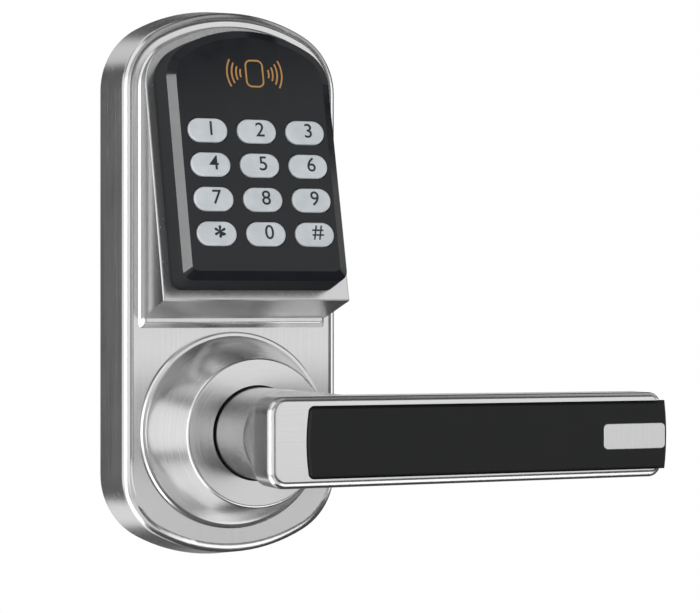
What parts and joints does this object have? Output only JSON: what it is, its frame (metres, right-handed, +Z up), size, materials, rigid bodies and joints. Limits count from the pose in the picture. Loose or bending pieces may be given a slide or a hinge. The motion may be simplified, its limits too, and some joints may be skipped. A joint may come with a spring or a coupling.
{
  "type": "keypad smart lock",
  "caption": "Outside unit of an electronic door lock: arched brushed plate, sloping black keypad with card reader, round rosette and a lever handle with a dark insert.",
  "frame": {"origin": "where the lever's axis meets the door face", "axes": "+X to the right across the door, +Y into the door, +Z up"},
  "size_m": [0.1498, 0.1307, 0.1688],
  "materials": {
    "satin_nickel": "satin brushed nickel plating",
    "bright_badge": "fine brushed",
    "black_insert": "satin black",
    "black_gloss": "gloss black",
    "key_grey": "satin pale grey",
    "gasket_foam": "matt foam rubber",
    "zinc_steel": "bright zinc plate",
    "spring_steel": "oiled spring steel",
    "bush_bronze": "sintered bronze",
    "circuit_board": "green solder mask",
    "key_rubber": "moulded silicone",
    "antenna_copper": "enamelled copper",
    "white_nylon": "moulded nylon",
    "black_plastic": "moulded plastic",
    "motor_can": "plated can"
  },
  "bodies": {
    "root": {"front_plate": "satin_nickel", "rosette": "satin_nickel", "keypad_housing": "satin_nickel", "keypad_panel": "black_gloss", "door_gasket": "gasket_foam", "back_plate": "zinc_steel", "mounting_posts": "zinc_steel", "back_plate_screws": "zinc_steel", "rosette_screws": "zinc_steel", "panel_screws": "zinc_steel", "housing_screws": "zinc_steel", "controller_screws": "zinc_steel", "keyboard_screws": "zinc_steel", "neck_bush": "bush_bronze", "wave_washer": "spring_steel", "return_spring": "spring_steel", "clutch_spring": "spring_steel", "keypad_board": "circuit_board", "controller_board": "circuit_board", "key_membrane": "key_rubber", "card_antenna": "antenna_copper", "cable_socket": "white_nylon", "buzzer": "black_plastic", "clutch_frame": "white_nylon", "clutch_motor": "motor_can"},
    "lever": {"lever_body": "satin_nickel", "lever_insert": "black_insert", "lever_badge": "bright_badge", "lever_set_screw": "spring_steel", "retaining_ring": "spring_steel", "drive_hub": "zinc_steel", "drive_pin": "spring_steel"},
    "spindle": {"spindle": "zinc_steel"},
    "clutch_slider": {"clutch_slider": "black_plastic"},
    "key_1": {"key_1": "key_grey"},
    "key_2": {"key_2": "key_grey"},
    "key_3": {"key_3": "key_grey"},
    "key_4": {"key_4": "key_grey"},
    "key_5": {"key_5": "key_grey"},
    "key_6": {"key_6": "key_grey"},
    "key_7": {"key_7": "key_grey"},
    "key_8": {"key_8": "key_grey"},
    "key_9": {"key_9": "key_grey"},
    "key_star": {"key_star": "key_grey"},
    "key_0": {"key_0": "key_grey"},
    "key_hash": {"key_hash": "key_grey"}
  },
  "joints": [
    {"name": "lever_turn", "type": "hinge", "parent": "root", "child": "lever", "pos_m": [0, 0, 0], "axis": [0, 1, 0], "range_deg": [-50, 50], "stiffness_Nm_per_rad": 0.9, "deforming": ["return_spring"]},
    {"name": "spindle_turn", "type": "hinge", "parent": "root", "child": "spindle", "pos_m": [0, 0, 0], "axis": [0, 1, 0], "range_deg": [-50, 50]},
    {"name": "clutch_slide", "type": "slide", "parent": "root", "child": "clutch_slider", "axis": [0, 0, -1], "range_m": [0, 0.0026], "deforming": ["clutch_spring"]},
    {"name": "key_1_press", "type": "slide", "parent": "root", "child": "key_1", "axis": [0, 0.9699, -0.2436], "range_m": [0, 0.0008], "stiffness_N_per_m": 900, "springref_m": -0.0004, "deforming": ["key_membrane"]},
    {"name": "key_2_press", "type": "slide", "parent": "root", "child": "key_2", "axis": [0, 0.9699, -0.2436], "range_m": [0, 0.0008], "stiffness_N_per_m": 900, "springref_m": -0.0004, "deforming": ["key_membrane"]},
    {"name": "key_3_press", "type": "slide", "parent": "root", "child": "key_3", "axis": [0, 0.9699, -0.2436], "range_m": [0, 0.0008], "stiffness_N_per_m": 900, "springref_m": -0.0004, "deforming": ["key_membrane"]},
    {"name": "key_4_press", "type": "slide", "parent": "root", "child": "key_4", "axis": [0, 0.9699, -0.2436], "range_m": [0, 0.0008], "stiffness_N_per_m": 900, "springref_m": -0.0004, "deforming": ["key_membrane"]},
    {"name": "key_5_press", "type": "slide", "parent": "root", "child": "key_5", "axis": [0, 0.9699, -0.2436], "range_m": [0, 0.0008], "stiffness_N_per_m": 900, "springref_m": -0.0004, "deforming": ["key_membrane"]},
    {"name": "key_6_press", "type": "slide", "parent": "root", "child": "key_6", "axis": [0, 0.9699, -0.2436], "range_m": [0, 0.0008], "stiffness_N_per_m": 900, "springref_m": -0.0004, "deforming": ["key_membrane"]},
    {"name": "key_7_press", "type": "slide", "parent": "root", "child": "key_7", "axis": [0, 0.9699, -0.2436], "range_m": [0, 0.0008], "stiffness_N_per_m": 900, "springref_m": -0.0004, "deforming": ["key_membrane"]},
    {"name": "key_8_press", "type": "slide", "parent": "root", "child": "key_8", "axis": [0, 0.9699, -0.2436], "range_m": [0, 0.0008], "stiffness_N_per_m": 900, "springref_m": -0.0004, "deforming": ["key_membrane"]},
    {"name": "key_9_press", "type": "slide", "parent": "root", "child": "key_9", "axis": [0, 0.9699, -0.2436], "range_m": [0, 0.0008], "stiffness_N_per_m": 900, "springref_m": -0.0004, "deforming": ["key_membrane"]},
    {"name": "key_star_press", "type": "slide", "parent": "root", "child": "key_star", "axis": [0, 0.9699, -0.2436], "range_m": [0, 0.0008], "stiffness_N_per_m": 900, "springref_m": -0.0004, "deforming": ["key_membrane"]},
    {"name": "key_0_press", "type": "slide", "parent": "root", "child": "key_0", "axis": [0, 0.9699, -0.2436], "range_m": [0, 0.0008], "stiffness_N_per_m": 900, "springref_m": -0.0004, "deforming": ["key_membrane"]},
    {"name": "key_hash_press", "type": "slide", "parent": "root", "child": "key_hash", "axis": [0, 0.9699, -0.2436], "range_m": [0, 0.0008], "stiffness_N_per_m": 900, "springref_m": -0.0004, "deforming": ["key_membrane"]}
  ],
  "couplings": [
    {"joint": "spindle_turn", "follows": "lever_turn", "ratio": 1}
  ]
}
